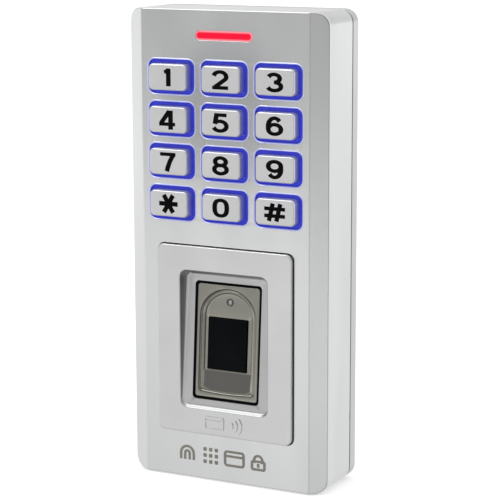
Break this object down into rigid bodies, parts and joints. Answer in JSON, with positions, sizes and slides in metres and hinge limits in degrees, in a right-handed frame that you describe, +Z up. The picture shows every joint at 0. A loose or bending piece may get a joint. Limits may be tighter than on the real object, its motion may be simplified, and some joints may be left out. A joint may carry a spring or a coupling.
{
  "type": "fingerprint scanner terminal",
  "caption": "Wall-mounted door access terminal with a lit metal keypad, a status bar, a card reader panel and a finger recess over an area fingerprint sensor.",
  "frame": {"origin": "centre of the back face, which lies against the wall", "axes": "+Z up along the terminal's height, +Y out of the back face into the wall, so the keypad faces -Y, and +X to the right of a person who faces the keypad"},
  "size_m": [0.0624, 0.0242, 0.136],
  "materials": {
    "housing_metal": "satin plating with a fine grain",
    "key_metal": "fine satin with polished edges",
    "panel_plastic": "silver satin paint",
    "blue_glow": "clear moulding lit blue from behind",
    "red_glow": "clear moulding lit red from behind",
    "sensor_bezel": "satin grey plating",
    "sensor_glass": "polished black glass",
    "black_rubber": "matt",
    "pale_silicone": "matt, translucent",
    "circuit_board": "green solder mask over glass laminate",
    "black_plastic": "fine moulded texture",
    "white_plastic": "moulded nylon",
    "relay_plastic": "smooth moulded cover",
    "led_package": "small clear-topped package",
    "plain_steel": "bright zinc plating"
  },
  "bodies": {
    "root": {"front_housing": "housing_metal", "wall_plate": "housing_metal", "key_light_guide": "blue_glow", "keypad_membrane": "pale_silicone", "status_light_pipe": "red_glow", "status_led_left": "led_package", "status_led_right": "led_package", "backlight_led_1": "led_package", "backlight_led_2": "led_package", "backlight_led_3": "led_package", "backlight_led_4": "led_package", "backlight_led_5": "led_package", "backlight_led_6": "led_package", "main_board": "circuit_board", "relay": "relay_plastic", "buzzer": "black_plastic", "capacitor": "plain_steel", "microcontroller": "black_plastic", "crystal": "plain_steel", "wiring_connector": "white_plastic", "tamper_light_sensor": "pale_silicone", "main_cable_socket": "white_plastic", "reader_cable_socket": "white_plastic", "reader_cable": "white_plastic", "reader_board": "circuit_board", "fingerprint_processor": "black_plastic", "reader_panel": "panel_plastic", "panel_seal": "black_rubber", "card_antenna": "circuit_board", "sensor_frame": "sensor_bezel", "sensor_window": "sensor_glass", "sensor_gasket": "black_rubber", "sensor_board": "circuit_board", "rear_cover": "black_plastic", "cable_grommet": "black_rubber", "housing_gasket": "black_rubber", "board_screw_1": "plain_steel", "board_screw_2": "plain_steel", "board_screw_3": "plain_steel", "board_screw_4": "plain_steel", "reader_screw_left": "plain_steel", "reader_screw_right": "plain_steel", "cover_screw_1": "plain_steel", "cover_screw_2": "plain_steel", "cover_screw_3": "plain_steel", "cover_screw_4": "plain_steel", "lock_screw": "plain_steel"},
    "key_1": {"key_1": "key_metal"},
    "key_2": {"key_2": "key_metal"},
    "key_3": {"key_3": "key_metal"},
    "key_4": {"key_4": "key_metal"},
    "key_5": {"key_5": "key_metal"},
    "key_6": {"key_6": "key_metal"},
    "key_7": {"key_7": "key_metal"},
    "key_8": {"key_8": "key_metal"},
    "key_9": {"key_9": "key_metal"},
    "key_star": {"key_star": "key_metal"},
    "key_0": {"key_0": "key_metal"},
    "key_hash": {"key_hash": "key_metal"}
  },
  "joints": [
    {"name": "key_1_press", "type": "slide", "parent": "root", "child": "key_1", "axis": [0, 1, 0], "range_m": [0, 0.0008], "stiffness_N_per_m": 2500, "deforming": ["keypad_membrane"]},
    {"name": "key_2_press", "type": "slide", "parent": "root", "child": "key_2", "axis": [0, 1, 0], "range_m": [0, 0.0008], "stiffness_N_per_m": 2500, "deforming": ["keypad_membrane"]},
    {"name": "key_3_press", "type": "slide", "parent": "root", "child": "key_3", "axis": [0, 1, 0], "range_m": [0, 0.0008], "stiffness_N_per_m": 2500, "deforming": ["keypad_membrane"]},
    {"name": "key_4_press", "type": "slide", "parent": "root", "child": "key_4", "axis": [0, 1, 0], "range_m": [0, 0.0008], "stiffness_N_per_m": 2500, "deforming": ["keypad_membrane"]},
    {"name": "key_5_press", "type": "slide", "parent": "root", "child": "key_5", "axis": [0, 1, 0], "range_m": [0, 0.0008], "stiffness_N_per_m": 2500, "deforming": ["keypad_membrane"]},
    {"name": "key_6_press", "type": "slide", "parent": "root", "child": "key_6", "axis": [0, 1, 0], "range_m": [0, 0.0008], "stiffness_N_per_m": 2500, "deforming": ["keypad_membrane"]},
    {"name": "key_7_press", "type": "slide", "parent": "root", "child": "key_7", "axis": [0, 1, 0], "range_m": [0, 0.0008], "stiffness_N_per_m": 2500, "deforming": ["keypad_membrane"]},
    {"name": "key_8_press", "type": "slide", "parent": "root", "child": "key_8", "axis": [0, 1, 0], "range_m": [0, 0.0008], "stiffness_N_per_m": 2500, "deforming": ["keypad_membrane"]},
    {"name": "key_9_press", "type": "slide", "parent": "root", "child": "key_9", "axis": [0, 1, 0], "range_m": [0, 0.0008], "stiffness_N_per_m": 2500, "deforming": ["keypad_membrane"]},
    {"name": "key_star_press", "type": "slide", "parent": "root", "child": "key_star", "axis": [0, 1, 0], "range_m": [0, 0.0008], "stiffness_N_per_m": 2500, "deforming": ["keypad_membrane"]},
    {"name": "key_0_press", "type": "slide", "parent": "root", "child": "key_0", "axis": [0, 1, 0], "range_m": [0, 0.0008], "stiffness_N_per_m": 2500, "deforming": ["keypad_membrane"]},
    {"name": "key_hash_press", "type": "slide", "parent": "root", "child": "key_hash", "axis": [0, 1, 0], "range_m": [0, 0.0008], "stiffness_N_per_m": 2500, "deforming": ["keypad_membrane"]}
  ]
}
